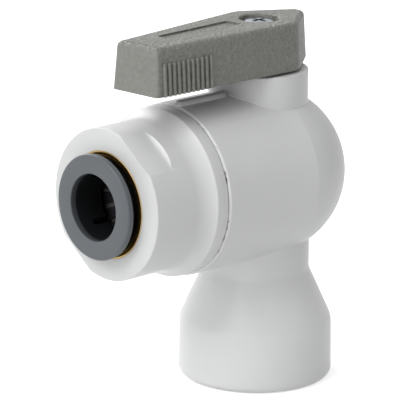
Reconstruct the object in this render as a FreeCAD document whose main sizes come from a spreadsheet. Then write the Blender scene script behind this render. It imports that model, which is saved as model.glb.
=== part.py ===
import FreeCAD, Part
import math
import os
import Sketcher

# Elbow ball valve. The origin is the centre of the outlet socket's mouth, +Z is up along the
# stem and the tube inlet looks along -Y. All sizes are in millimetres or degrees.
SIZES = [
    ("centre_height", "49.15", "barrel axis above the socket mouth"),
    ("barrel_radius", "20", "outside of the barrel's round rear end"),
    ("barrel_taper", "0.2", "how much slimmer the barrel is at the seam"),
    ("dome_start", "0.6", "stem axis to the start of the barrel's round rear end"),
    ("seam_reach", "27.1", "stem axis to the seam between body and inlet cap"),
    ("seam_bevel", "0.35", "bevel of the body at the seam"),
    ("boss_radius", "11.62", "foot of the stem boss on top of the barrel"),
    ("boss_top_radius", "11.5", "top of the stem boss"),
    ("boss_edge", "0.3", "rounding of the boss's upper edge"),
    ("boss_rise", "24.35", "top of the stem boss above the barrel axis"),
    ("neck_radius", "12.38", "neck under the barrel"),
    ("neck_drop", "23.2", "end of the neck below the barrel axis"),
    ("cone_drop", "35.2", "end of the cone below the barrel axis"),
    ("socket_radius", "18", "outside of the outlet socket at its mouth"),
    ("socket_top_radius", "17.8", "outside of the outlet socket under the cone"),
    ("socket_edge", "1.9", "rounding of the socket's lower edge"),
    ("mark_start", "26.9", "far end of the raised flow mark"),
    ("mark_end", "11.9", "near end of the raised flow mark"),
    ("mark_width", "2", "width of the flow mark"),
    ("mark_offset", "1.6", "flow mark beside the middle of the barrel"),
    ("mark_rise", "0.9", "flow mark above the barrel"),
    ("mark_root", "0.9", "flow mark's foot inside the barrel's wall"),
    ("thread_core", "12.06", "core radius of the outlet's pipe thread"),
    ("thread_depth", "14", "depth of the outlet's thread"),
    ("thread_lead", "1.2", "bevel at the mouth of the thread"),
    ("gasket_height", "2", "flat gasket at the bottom of the socket"),
    ("gasket_bore", "8", "hole radius of the flat gasket"),
    ("gasket_radius", "12.6", "outside of the flat gasket, held in behind the thread"),
    ("port_radius", "6.25", "waterway through cap, ball and neck"),
    ("ball_radius", "12", "ball"),
    ("chamber_gap", "0.6", "room round the ball in its chamber"),
    ("slot_width", "4.2", "drive slot in the top of the ball"),
    ("slot_depth", "3", "depth of the drive slot"),
    ("seat_gap", "0.15", "film gap between a seat and the ball"),
    ("seat_radius", "10", "outside of the two ball seats"),
    ("seat_bore", "6.6", "hole of the two ball seats"),
    ("seat_back", "12.6", "back of a seat from the ball's centre"),
    ("seat_front", "8.6", "front of a seat from the ball's centre"),
    ("backing_wire", "0.9", "section radius of the rings behind the seats"),
    ("backing_radius", "8.6", "centre line radius of the rings behind the seats"),
    ("fit_gap", "0.05", "clearance between pieces that fit in each other"),
    ("turn_gap", "0.1", "clearance round the stem"),
    ("free_gap", "0.3", "clearance between pieces that pass each other"),
    ("stem_radius", "4.75", "stem in its bore"),
    ("collar_radius", "6.2", "collar that holds the stem in"),
    ("collar_rise", "12.3", "bottom of the collar above the ball's centre"),
    ("collar_height", "2", "height of the collar"),
    ("thrust_height", "1", "thickness of the thrust washer"),
    ("groove_depth", "1.5", "depth of the stem's ring grooves"),
    ("groove_width", "1.9", "width of the stem's ring grooves"),
    ("groove_rise", "16.5", "bottom of the lower ring groove above the ball's centre"),
    ("groove_pitch", "2.8", "spacing of the two ring grooves"),
    ("stem_wire", "0.74", "section radius of the stem rings"),
    ("drive_width", "6.4", "square on top of the stem"),
    ("drive_top", "29.6", "top of the square above the barrel axis"),
    ("tang_width", "3.8", "tang that drives the ball"),
    ("tang_length", "11", "length of the tang"),
    ("tang_gap", "0.3", "tang above the bottom of the slot"),
    ("recess_radius", "8.6", "stop recess in the top of the boss"),
    ("recess_depth", "2.15", "depth of the stop recess"),
    ("stop_angle", "50", "width of the fixed stop"),
    ("stop_turn", "90", "middle of the fixed stop, from the inlet side towards +X"),
    ("stop_inner", "6.4", "inner radius of the fixed stop"),
    ("lever_turn", "4.3", "lever past the barrel's direction when open"),
    ("travel", "94.3", "turn from open to closed"),
    ("stop_slack", "2", "slack at each stop"),
    ("lever_gap", "0.65", "lever above the boss"),
    ("lever_height", "10.9", "height of the lever"),
    ("tip_reach", "40.9", "stem axis to the lever's tip"),
    ("tip_half", "6.9", "half width at the tip"),
    ("widest_half", "10.3", "half width at the stem"),
    ("widest_start", "0", "where the lever is first at its widest"),
    ("widest_end", "2.6", "where the rear bevels start"),
    ("nose_reach", "14.9", "stem axis to the rear nose"),
    ("nose_half", "1.6", "half width of the rear nose"),
    ("lever_draft", "3.3", "draft of the lever's sides"),
    ("corner_round", "1.6", "rounding of the lever's upright corners"),
    ("rim_round", "1.2", "rounding of the lever's upper edge"),
    ("lever_wall", "1.9", "side walls of the lever"),
    ("lever_roof", "2.2", "roof of the lever"),
    ("hub_radius", "8.3", "hub and stop skirt under the lever"),
    ("hub_bore", "6.1", "inside of the stop skirt"),
    ("web_width", "1.4", "stiffening webs under the lever"),
    ("web_pitch", "11", "spacing of the cross webs"),
    ("grip_count", "11", "grip ribs on each side"),
    ("grip_pitch", "1.42", "spacing of the grip ribs"),
    ("grip_start", "1.7", "first grip rib from the tip"),
    ("grip_width", "0.75", "width of a grip rib"),
    ("grip_rise", "0.6", "how far the grip ribs stand out at the foot"),
    ("grip_height", "7.5", "height of the grip ribs"),
    ("panel_length", "23", "bare panel sunk in the lever's top"),
    ("panel_width", "4.6", "width of the panel"),
    ("panel_depth", "0.45", "depth of the panel"),
    ("panel_reach", "19.2", "stem axis to the middle of the panel"),
    ("panel_offset", "0.8", "panel beside the lever's middle line"),
    ("well_radius", "4.6", "screw well in the lever's top"),
    ("well_depth", "4", "depth of the screw well"),
    ("screw_radius", "1.95", "shank of the screw"),
    ("screw_length", "10", "shank below the head"),
    ("head_radius", "3.7", "screw head"),
    ("head_height", "2.6", "height of the screw head"),
    ("cross_width", "1", "width of the cross recess"),
    ("cross_length", "4", "length of the cross recess"),
    ("cross_depth", "1.5", "depth of the cross recess"),
    ("washer_radius", "4.3", "washer under the screw head"),
    ("washer_height", "0.7", "thickness of the washer"),
    ("face_reach", "46.6", "stem axis to the front face of the inlet cap"),
    ("cap_step", "2.05", "front of the inlet cap inside its flange"),
    ("cap_edge", "0.5", "rounding of the cap's front edge"),
    ("step_reach", "38.9", "stem axis to the end of the flats"),
    ("cove_reach", "35", "stem axis to the foot of the hollow shoulder"),
    ("shoulder_reach", "30.4", "stem axis to the edge of the shoulder"),
    ("flange_step", "0.4", "flange of the cap inside the barrel at the seam"),
    ("flat_depth", "1.05", "depth of the spanner flats in the cap's front"),
    ("flat_run", "1.7", "length over which a flat curves out at its end"),
    ("flat_turn", "36.5", "direction of the upper flat, from +Z towards +X"),
    ("spigot_radius", "14.9", "threaded spigot of the cap"),
    ("spigot_gap", "0.1", "room round the spigot in the body"),
    ("spigot_reach", "18.2", "stem axis to the end of the threaded stretch"),
    ("nose_radius", "13.9", "sealing nose of the spigot"),
    ("nose_end", "11.4", "stem axis to the end of the spigot"),
    ("cap_ring_wire", "0.9", "section radius of the cap's sealing ring"),
    ("cap_ring_reach", "16.4", "stem axis to the cap's sealing ring"),
    ("sleeve_radius", "12.2", "outside of the metal sleeve"),
    ("sleeve_wall", "0.55", "wall of the metal sleeve"),
    ("sleeve_proud", "0.15", "sleeve beyond the cap's face"),
    ("sleeve_end", "39.4", "stem axis to the sleeve's inner end"),
    ("mouth_radius", "10.6", "hole in the sleeve's turned-in mouth"),
    ("mouth_width", "0.6", "thickness of the sleeve's mouth"),
    ("mouth_sink", "0.3", "mouth behind the sleeve's rim"),
    ("lip_reach", "43.8", "stem axis to the inner side of the sleeve's lip"),
    ("lip_width", "0.6", "thickness of the lip"),
    ("lip_radius", "9.75", "hole in the lip"),
    ("grip_ring_width", "0.5", "sheet of the toothed ring"),
    ("tooth_root", "9.6", "radius where the teeth start"),
    ("tooth_tip", "7.35", "radius of the teeth's points"),
    ("tooth_slant", "1.5", "how far the teeth lean inwards"),
    ("tooth_count", "16", "teeth of the ring"),
    ("tooth_slot", "0.9", "gap between two teeth"),
    ("spacer_width", "3", "ring between the teeth and the tube seal"),
    ("socket_bore", "7.75", "tube socket behind the seal"),
    ("tube_ring_wire", "1.3", "section radius of the tube seal"),
    ("tube_ring_bore", "7.35", "inside of the tube seal"),
    ("tube_stop", "25", "stem axis to the end of the tube socket"),
    ("collet_face", "50.35", "stem axis to the front of the release collet"),
    ("collet_flange", "1.5", "thickness of the collet's flange"),
    ("collet_radius", "12", "outside of the collet's flange"),
    ("collet_bevel", "0.45", "bevel of the flange's front edge"),
    ("collet_bore", "7.6", "collet's bore, a close fit on the tube"),
    ("collet_lead", "0.2", "bevel at the mouth of the collet"),
    ("collet_neck", "9.3", "outside of the collet's sleeve"),
    ("collet_end", "41.2", "stem axis to the collet's inner end"),
    ("barb_radius", "10.3", "barbs that hold the collet in"),
    ("barb_width", "1.2", "length of the barbs"),
    ("collet_slots", "4", "slots between the collet's fingers"),
    ("collet_slot_width", "1.4", "width of a slot"),
    ("collet_slot_length", "4.4", "length of a slot"),
]

doc = FreeCAD.newDocument("elbow_ball_valve")
sheet = doc.addObject("Spreadsheet::Sheet", "sizes")


class Size:
    """A size from the sheet, or a sum of such sizes, as a number and as the sheet's formula."""

    def __init__(self, number, formula):
        self.number = number
        self.formula = formula

    def __add__(self, other):
        return Size(number(self) + number(other), f"({formula(self)} + {formula(other)})")

    def __sub__(self, other):
        return Size(number(self) - number(other), f"({formula(self)} - {formula(other)})")

    def __mul__(self, other):
        return Size(number(self) * number(other), f"({formula(self)} * {formula(other)})")

    def __truediv__(self, other):
        return Size(number(self) / number(other), f"({formula(self)} / {formula(other)})")

    def __neg__(self):
        return Size(-number(self), f"(0 - {formula(self)})")


def number(size):
    return size.number if isinstance(size, Size) else float(size)


def formula(size):
    return size.formula if isinstance(size, Size) else str(size)


class Sizes:
    """Every driving size by its name."""


s = Sizes()
for row, (name, text, meaning) in enumerate(SIZES, 1):
    sheet.set(f"A{row}", meaning)
    sheet.set(f"B{row}", text)
    sheet.setAlias(f"B{row}", name)
    setattr(s, name, Size(float(text), f"sizes.{name}"))
doc.recompute()


def tie(thing, prop, size):
    """Sets a property to a size, and binds it to the sheet."""
    thing.setExpression(prop, formula(size))


# Sketches and features

def new_body(label):
    body = doc.addObject("PartDesign::Body", label)
    body.Label = label
    return body


def new_sketch(body, name, plane, across=0, along=0, lift=0, turn=0, axis=(0, 0, 1)):
    """A sketch on one of the body's origin planes, moved in its own directions and turned."""
    base = [item for item in body.Origin.OriginFeatures if item.Role == plane][0]
    sketch = body.newObject("Sketcher::SketchObject", name)
    sketch.AttachmentSupport = (base, [""])
    sketch.MapMode = "FlatFace"
    spin = FreeCAD.Rotation(FreeCAD.Vector(*axis), 1)
    sketch.AttachmentOffset = FreeCAD.Placement(FreeCAD.Vector(0, 0, 0), spin)
    tie(sketch, "AttachmentOffset.Base.x", across)
    tie(sketch, "AttachmentOffset.Base.y", along)
    tie(sketch, "AttachmentOffset.Base.z", lift)
    tie(sketch, "AttachmentOffset.Rotation.Angle", turn)
    return sketch


def pin_point(sketch, geometry, end, corner):
    """Fixes one end of a sketch line at a corner that is measured from the origin."""
    for kind, size in zip(("DistanceX", "DistanceY"), corner):
        if abs(number(size)) < 1e-9:
            axis = -2 if kind == "DistanceX" else -1
            sketch.addConstraint(Sketcher.Constraint("PointOnObject", geometry, end, axis))
            continue
        index = sketch.addConstraint(
            Sketcher.Constraint(kind, -1, 1, geometry, end, number(size)))
        tie(sketch, f"Constraints[{index}]", size)


def arc_between(start, end, radius):
    """The short arc from start to end that bulges to the right of the way it goes,
    or to the left where the radius is negative."""
    across = end - start
    half = across.Length / 2
    side = 1 if radius > 0 else -1
    reach = math.sqrt(max(radius * radius - half * half, 0))
    normal = FreeCAD.Vector(-across.y, across.x, 0).normalize() * side
    centre = (start + end) * 0.5 + normal * reach
    middle = centre - normal * abs(radius)
    return Part.Arc(start, middle, end), side


def outline(sketch, corners):
    """A closed outline. A corner is (across, up), or (across, up, radius) where an arc
    of that radius leads on to the next corner."""
    points = [FreeCAD.Vector(number(c[0]), number(c[1]), 0) for c in corners]
    first = sketch.GeometryCount
    ends = []
    for index, corner in enumerate(corners):
        start = points[index]
        end = points[(index + 1) % len(points)]
        if len(corner) == 2:
            sketch.addGeometry(Part.LineSegment(start, end), False)
            ends.append((1, 2))
            continue
        arc, side = arc_between(start, end, number(corner[2]))
        sketch.addGeometry(arc, False)
        ends.append((1, 2) if side > 0 else (2, 1))
    for index, corner in enumerate(corners):
        following = (index + 1) % len(corners)
        sketch.addConstraint(Sketcher.Constraint(
            "Coincident", first + index, ends[index][1], first + following, ends[following][0]))
        pin_point(sketch, first + index, ends[index][0], corner[:2])
        if len(corner) == 3:
            radius = corner[2] if number(corner[2]) > 0 else -corner[2]
            bound = sketch.addConstraint(
                Sketcher.Constraint("Radius", first + index, number(radius)))
            tie(sketch, f"Constraints[{bound}]", radius)


def disc(sketch, radius, across=0, up=0):
    centre = FreeCAD.Vector(number(across), number(up), 0)
    circle = Part.Circle(centre, FreeCAD.Vector(0, 0, 1), number(radius))
    index = sketch.addGeometry(circle, False)
    pin_point(sketch, index, 3, (across, up))
    bound = sketch.addConstraint(Sketcher.Constraint("Radius", index, number(radius)))
    tie(sketch, f"Constraints[{bound}]", radius)


def slab(sketch, left, right, low, high):
    outline(sketch, [(left, low), (right, low), (right, high), (left, high)])


def revolve(body, name, sketch, axis, cut=False):
    kind = "PartDesign::Groove" if cut else "PartDesign::Revolution"
    feature = body.newObject(kind, name)
    feature.Profile = sketch
    feature.ReferenceAxis = (sketch, [axis])
    feature.Angle = 360
    return feature


def extrude(body, name, sketch, length, cut=False, reverse=False, draft=0):
    kind = "PartDesign::Pocket" if cut else "PartDesign::Pad"
    feature = body.newObject(kind, name)
    feature.Profile = sketch
    tie(feature, "Length", length)
    feature.Reversed = reverse
    if draft:
        tie(feature, "TaperAngle", draft)
    return feature


def repeat_round(body, feature, sketch, count, axis="N_Axis"):
    pattern = body.newObject("PartDesign::PolarPattern", feature.Name + "_pattern")
    pattern.Originals = [feature]
    pattern.Axis = (sketch, [axis])
    pattern.Angle = 360
    tie(pattern, "Occurrences", count)
    body.Tip = pattern
    return pattern


def repeat_along(body, feature, sketch, pitch, count):
    pattern = body.newObject("PartDesign::LinearPattern", feature.Name + "_pattern")
    pattern.Originals = [feature]
    pattern.Direction = (sketch, ["H_Axis"])
    tie(pattern, "Length", pitch * (count - 1))
    tie(pattern, "Occurrences", count)
    body.Tip = pattern
    return pattern


def dress_edges(body, name, chosen, size, bevel=False):
    """Rounds or bevels the edges of the body's last feature that the test picks."""
    doc.recompute()
    base = body.Tip
    picks = [f"Edge{index}" for index, edge in enumerate(base.Shape.Edges, 1)
             if not edge.Degenerated and chosen(edge)]
    if not picks:
        raise RuntimeError(f"{name} found no edges")
    feature = body.newObject("PartDesign::Chamfer" if bevel else "PartDesign::Fillet", name)
    feature.Base = (base, picks)
    tie(feature, "Size" if bevel else "Radius", size)
    return feature


def near(measured, wanted, slack=0.02):
    return abs(measured - number(wanted)) < slack


def ring_edge(edge, radius, axis_letter, place):
    """Is the edge a full circle of this radius, at this place along the axis?"""
    if not isinstance(edge.Curve, Part.Circle) or not near(edge.Curve.Radius, radius):
        return False
    centre = edge.Curve.Center
    along = {"y": centre.y, "z": centre.z}[axis_letter]
    return near(along, place)


def wire_ring(label, radius, wire, reach, upright=False, height=0):
    """A round sealing ring about the barrel axis, or about the stem where it is upright."""
    ring = doc.addObject("Part::Torus", label)
    ring.Label = label
    tie(ring, "Radius1", radius)
    tie(ring, "Radius2", wire)
    if upright:
        tie(ring, "Placement.Base.z", s.centre_height + height)
        return ring
    turn = FreeCAD.Rotation(FreeCAD.Vector(1, 0, 0), 90)
    ring.Placement = FreeCAD.Placement(FreeCAD.Vector(0, 0, 0), turn)
    tie(ring, "Placement.Base.y", -reach)
    tie(ring, "Placement.Base.z", s.centre_height)
    return ring


def flat_ring(label, outer, inner, height, bottom):
    """A flat washer about the stem axis, cut from two cylinders."""
    rim = doc.addObject("Part::Cylinder", label + "_rim")
    hole = doc.addObject("Part::Cylinder", label + "_hole")
    for disc_part, radius in ((rim, outer), (hole, inner)):
        tie(disc_part, "Radius", radius)
        tie(disc_part, "Height", height)
        tie(disc_part, "Placement.Base.z", bottom)
    ring = doc.addObject("Part::Cut", label)
    ring.Label = label
    ring.Base = rim
    ring.Tool = hole
    return ring


def barrel_profile(body, name):
    """A sketch whose across is Y and whose up is the distance from the barrel axis."""
    return new_sketch(body, name, "YZ_Plane", along=s.centre_height)


# Radii that follow the barrel's

def barrel_front():
    """Outside of the barrel at the seam."""
    return s.barrel_radius - s.barrel_taper


def flange_radius():
    """Flange of the inlet cap."""
    return barrel_front() - s.flange_step


def cap_radius():
    """Front of the inlet cap."""
    return flange_radius() - s.cap_step


# The body: barrel, round rear end, stem boss, neck, cone and outlet socket in one moulding

def make_valve_body():
    body = new_body("valve_body")

    barrel = barrel_profile(body, "barrel_outline")
    outline(barrel, [
        (-s.seam_reach, 0),
        (-s.seam_reach, barrel_front() - s.seam_bevel),
        (-s.seam_reach + s.seam_bevel, barrel_front()),
        (s.dome_start, s.barrel_radius, -s.barrel_radius),
        (s.dome_start + s.barrel_radius, 0),
    ])
    revolve(body, "barrel", barrel, "H_Axis")

    socket_top = s.centre_height - s.cone_drop
    column = new_sketch(body, "column_outline", "YZ_Plane")
    outline(column, [
        (0, 0),
        (s.socket_radius, 0),
        (s.socket_top_radius, socket_top),
        (s.neck_radius, s.centre_height - s.neck_drop),
        (s.neck_radius, s.centre_height),
        (s.boss_radius, s.centre_height),
        (s.boss_top_radius, s.centre_height + s.boss_rise),
        (0, s.centre_height + s.boss_rise),
    ])
    revolve(body, "column", column, "V_Axis")

    dress_edges(body, "socket_round",
                lambda edge: ring_edge(edge, s.socket_radius, "z", 0), s.socket_edge)
    boss_top = s.centre_height + s.boss_rise
    dress_edges(body, "boss_round",
                lambda edge: ring_edge(edge, s.boss_top_radius, "z", boss_top), s.boss_edge)

    mark_top = s.centre_height + s.barrel_radius + s.mark_rise
    mark = new_sketch(body, "mark_outline", "XY_Plane", across=s.mark_offset, lift=mark_top)
    half = s.mark_width / 2
    end_round = s.mark_width * 0.55
    outline(mark, [
        (-half, -s.mark_start + half, end_round),
        (half, -s.mark_start + half),
        (half, -s.mark_end - half, end_round),
        (-half, -s.mark_end - half),
    ])
    mark_depth = s.mark_rise + s.barrel_radius - barrel_front() + s.mark_root
    extrude(body, "flow_mark", mark, mark_depth, reverse=True)

    cavity = barrel_profile(body, "cavity_outline")
    chamber = s.ball_radius + s.chamber_gap
    rear_floor = s.seat_back + s.backing_wire * 2
    outline(cavity, [
        (-s.seam_reach, 0),
        (-s.seam_reach, s.spigot_radius + s.spigot_gap),
        (-s.spigot_reach, s.spigot_radius + s.spigot_gap),
        (-s.spigot_reach, s.nose_radius + s.fit_gap),
        (-s.nose_end + s.free_gap, s.nose_radius + s.fit_gap),
        (-s.nose_end + s.free_gap, chamber),
        (s.nose_end, chamber),
        (s.nose_end, s.seat_radius + s.fit_gap),
        (rear_floor, s.seat_radius + s.fit_gap),
        (rear_floor, 0),
    ])
    revolve(body, "cavity", cavity, "H_Axis", cut=True)

    roof = s.centre_height + s.collar_rise + s.collar_height + s.thrust_height + s.turn_gap
    recess_floor = boss_top - s.recess_depth
    bore = new_sketch(body, "stem_bore_outline", "YZ_Plane")
    outline(bore, [
        (0, s.centre_height),
        (s.collar_radius + s.turn_gap, s.centre_height),
        (s.collar_radius + s.turn_gap, roof),
        (s.stem_radius + s.turn_gap, roof),
        (s.stem_radius + s.turn_gap, recess_floor),
        (s.recess_radius, recess_floor),
        (s.recess_radius, boss_top),
        (0, boss_top),
    ])
    revolve(body, "stem_bore", bore, "V_Axis", cut=True)

    gasket_top = s.thread_depth + s.gasket_height
    outlet = new_sketch(body, "outlet_outline", "YZ_Plane")
    outline(outlet, [
        (0, 0),
        (s.thread_core + s.thread_lead, 0),
        (s.thread_core, s.thread_lead),
        (s.thread_core, s.thread_depth),
        (s.gasket_radius + s.fit_gap, s.thread_depth),
        (s.gasket_radius + s.fit_gap, gasket_top),
        (s.port_radius, gasket_top),
        (s.port_radius, s.centre_height),
        (0, s.centre_height),
    ])
    revolve(body, "outlet", outlet, "V_Axis", cut=True)

    stop = new_sketch(body, "stop_outline", "XY_Plane", lift=recess_floor,
                      turn=s.stop_turn - 90 - s.stop_angle / 2)
    sector(stop, s.stop_inner, s.recess_radius + s.fit_gap, s.stop_angle)
    extrude(body, "fixed_stop", stop, s.recess_depth - s.free_gap)
    return body


def sector(sketch, inner, outer, sweep):
    """A ring sector from the sketch's across axis, turning left by the sweep."""
    angle = math.radians(number(sweep))
    cosine = Size(math.cos(angle), f"cos({formula(sweep)} * 1deg)")
    sine = Size(math.sin(angle), f"sin({formula(sweep)} * 1deg)")
    outline(sketch, [
        (inner, 0),
        (outer, 0, outer),
        (outer * cosine, outer * sine),
        (inner * cosine, inner * sine, -inner),
    ])


# The inlet cap, screwed into the barrel, with the tube's seal and grip inside

def make_inlet_cap():
    body = new_body("inlet_cap")
    shell = barrel_profile(body, "cap_outline")
    ring_floor = s.cap_ring_reach - s.cap_ring_wire - s.fit_gap
    ring_face = s.cap_ring_reach + s.cap_ring_wire + s.fit_gap
    ring_bottom = s.nose_radius - s.cap_ring_wire * 2 - s.fit_gap
    seat_floor = s.seat_back + s.backing_wire * 2
    cove = hollow_radius(s.cove_reach - s.shoulder_reach, s.cap_step)
    outline(shell, [
        (-s.face_reach, 0),
        (-s.face_reach, cap_radius()),
        (-s.cove_reach, cap_radius(), cove),
        (-s.shoulder_reach, flange_radius()),
        (-s.seam_reach, flange_radius()),
        (-s.seam_reach, s.spigot_radius),
        (-s.spigot_reach, s.spigot_radius),
        (-s.spigot_reach, s.nose_radius),
        (-ring_face, s.nose_radius),
        (-ring_face, ring_bottom),
        (-ring_floor, ring_bottom),
        (-ring_floor, s.nose_radius),
        (-s.nose_end, s.nose_radius),
        (-s.nose_end, 0),
    ])
    revolve(body, "cap", shell, "H_Axis")
    dress_edges(body, "face_round",
                lambda edge: ring_edge(edge, cap_radius(), "y", -s.face_reach), s.cap_edge)

    sleeve_floor = grip_floor() - s.spacer_width
    ring_seat = sleeve_floor - s.tube_ring_wire * 2 - s.fit_gap * 2
    hollow = barrel_profile(body, "cap_hollow_outline")
    outline(hollow, [
        (-s.face_reach, 0),
        (-s.face_reach, s.sleeve_radius + s.fit_gap),
        (-sleeve_floor, s.sleeve_radius + s.fit_gap),
        (-sleeve_floor, s.tube_ring_bore + s.tube_ring_wire * 2 + s.fit_gap),
        (-ring_seat, s.tube_ring_bore + s.tube_ring_wire * 2 + s.fit_gap),
        (-ring_seat, s.socket_bore),
        (-s.tube_stop, s.socket_bore),
        (-s.tube_stop, s.port_radius),
        (-seat_floor, s.port_radius),
        (-seat_floor, s.seat_radius + s.fit_gap),
        (-s.nose_end, s.seat_radius + s.fit_gap),
        (-s.nose_end, 0),
    ])
    revolve(body, "cap_hollow", hollow, "H_Axis", cut=True)

    flat = new_sketch(body, "flat_outline", "YZ_Plane", along=s.centre_height,
                      turn=s.flat_turn, axis=(1, 0, 0))
    floor = cap_radius() - s.flat_depth
    outline(flat, [
        (-s.face_reach, flange_radius()),
        (-s.face_reach, floor),
        (-s.step_reach - s.flat_run, floor, hollow_radius(s.flat_run, s.flat_depth)),
        (-s.step_reach, cap_radius()),
        (-s.step_reach, flange_radius()),
    ])
    cut = extrude(body, "spanner_flat", flat, flange_radius() * 2, cut=True)
    cut.Midplane = True
    repeat_round(body, cut, flat, 2, axis="H_Axis")
    return body


def hollow_radius(run, rise):
    """Radius of an arc that leaves a straight line and climbs by rise over run."""
    return (run * run + rise * rise) / (rise * 2)


def grip_floor():
    """The inner side of the toothed ring, from the stem axis."""
    return s.sleeve_end - s.grip_ring_width - s.fit_gap


def make_cap_ring():
    return wire_ring("cap_sealing_ring", s.nose_radius - s.cap_ring_wire + s.fit_gap / 2,
                     s.cap_ring_wire, s.cap_ring_reach)


# The tube side: metal sleeve, toothed ring, spacer, tube seal and release collet

def make_metal_sleeve():
    body = new_body("metal_sleeve")
    wall = barrel_profile(body, "sleeve_outline")
    inside = s.sleeve_radius - s.sleeve_wall
    mouth = s.face_reach + s.sleeve_proud - s.mouth_sink
    outline(wall, [
        (-s.face_reach - s.sleeve_proud, inside),
        (-s.face_reach - s.sleeve_proud, s.sleeve_radius),
        (-s.sleeve_end, s.sleeve_radius),
        (-s.sleeve_end, inside),
        (-s.lip_reach, inside),
        (-s.lip_reach, s.lip_radius),
        (-s.lip_reach - s.lip_width, s.lip_radius),
        (-s.lip_reach - s.lip_width, inside),
        (-mouth + s.mouth_width, inside),
        (-mouth + s.mouth_width, s.mouth_radius),
        (-mouth, s.mouth_radius),
        (-mouth, inside),
    ])
    revolve(body, "sleeve", wall, "H_Axis")
    return body


def make_toothed_ring():
    body = new_body("toothed_ring")
    sheet_side = -s.sleeve_end + s.fit_gap / 2
    sheet_back = sheet_side + s.grip_ring_width
    disc_wall = barrel_profile(body, "tooth_outline")
    outline(disc_wall, [
        (sheet_side, s.tooth_root),
        (sheet_side, s.sleeve_radius),
        (sheet_back, s.sleeve_radius),
        (sheet_back, s.tooth_root),
        (sheet_back + s.tooth_slant, s.tooth_tip),
        (sheet_side + s.tooth_slant, s.tooth_tip),
    ])
    revolve(body, "toothed_disc", disc_wall, "H_Axis")
    gap = new_sketch(body, "tooth_slot_outline", "XZ_Plane", along=s.centre_height,
                     lift=s.sleeve_end + 1)
    slab(gap, s.tooth_tip - 1, s.tooth_root, -s.tooth_slot / 2, s.tooth_slot / 2)
    cut = extrude(body, "tooth_slot", gap, s.tooth_slant + s.grip_ring_width + 2, cut=True)
    repeat_round(body, cut, gap, s.tooth_count)
    return body


def make_spacer():
    body = new_body("tube_spacer")
    front = -grip_floor() + s.fit_gap
    wall = barrel_profile(body, "spacer_outline")
    outline(wall, [
        (front, s.tooth_root + s.free_gap),
        (front, s.sleeve_radius),
        (front + s.spacer_width - s.fit_gap * 2, s.sleeve_radius),
        (front + s.spacer_width - s.fit_gap * 2, s.socket_bore),
        (front + s.tooth_slant + s.free_gap, s.socket_bore),
    ])
    revolve(body, "spacer", wall, "H_Axis")
    return body


def make_tube_seal():
    reach = grip_floor() - s.spacer_width - s.tube_ring_wire - s.fit_gap
    return wire_ring("tube_seal", s.tube_ring_bore + s.tube_ring_wire, s.tube_ring_wire, reach)


def make_release_collet():
    body = new_body("release_collet")
    barb_face = -s.lip_reach + s.free_gap
    wall = barrel_profile(body, "collet_outline")
    outline(wall, [
        (-s.collet_face, s.collet_bore + s.collet_lead),
        (-s.collet_face, s.collet_radius - s.collet_bevel),
        (-s.collet_face + s.collet_bevel, s.collet_radius),
        (-s.collet_face + s.collet_flange, s.collet_radius),
        (-s.collet_face + s.collet_flange, s.collet_neck),
        (barb_face, s.collet_neck),
        (barb_face, s.barb_radius),
        (barb_face + s.barb_width / 2, s.barb_radius),
        (barb_face + s.barb_width, s.collet_neck),
        (-s.collet_end, s.collet_neck),
        (-s.collet_end, s.collet_bore),
        (-s.collet_face + s.collet_lead, s.collet_bore),
    ])
    revolve(body, "collet", wall, "H_Axis")
    slot = new_sketch(body, "collet_slot_outline", "XZ_Plane", along=s.centre_height,
                      lift=s.collet_end - 1, turn=45)
    slab(slot, s.collet_bore - 1, s.barb_radius + 1,
         -s.collet_slot_width / 2, s.collet_slot_width / 2)
    cut = extrude(body, "collet_slot", slot, s.collet_slot_length + 1, cut=True, reverse=True)
    repeat_round(body, cut, slot, s.collet_slots)
    return body


# The ball, its two seats and the rings that press them on

def make_ball():
    sphere = doc.addObject("Part::Sphere", "ball_blank")
    tie(sphere, "Radius", s.ball_radius)
    side_port = doc.addObject("Part::Cylinder", "ball_side_port")
    side_port.Placement.Rotation = FreeCAD.Rotation(FreeCAD.Vector(1, 0, 0), 90)
    lower_port = doc.addObject("Part::Cylinder", "ball_lower_port")
    lower_port.Placement.Rotation = FreeCAD.Rotation(FreeCAD.Vector(1, 0, 0), 180)
    elbow = doc.addObject("Part::Sphere", "ball_elbow")
    for bore in (side_port, lower_port):
        tie(bore, "Radius", s.port_radius)
        tie(bore, "Height", s.ball_radius + 1)
    tie(elbow, "Radius", s.port_radius)
    slot = doc.addObject("Part::Box", "ball_slot")
    tie(slot, "Length", s.ball_radius * 2)
    tie(slot, "Width", s.slot_width)
    tie(slot, "Height", s.slot_depth + 1)
    tie(slot, "Placement.Base.x", -s.ball_radius)
    tie(slot, "Placement.Base.y", -s.slot_width / 2)
    tie(slot, "Placement.Base.z", s.ball_radius - s.slot_depth)
    hollow = doc.addObject("Part::MultiFuse", "ball_hollow")
    hollow.Shapes = [side_port, lower_port, elbow, slot]
    ball = doc.addObject("Part::Cut", "ball")
    ball.Label = "ball"
    ball.Base = sphere
    ball.Tool = hollow
    ball.Placement = FreeCAD.Placement(FreeCAD.Vector(0, 0, 0), lever_spin())
    tie(ball, "Placement.Base.z", s.centre_height)
    tie(ball, "Placement.Rotation.Angle", s.lever_turn)
    return ball


def lever_spin():
    return FreeCAD.Rotation(FreeCAD.Vector(0, 0, 1), number(s.lever_turn))


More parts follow.
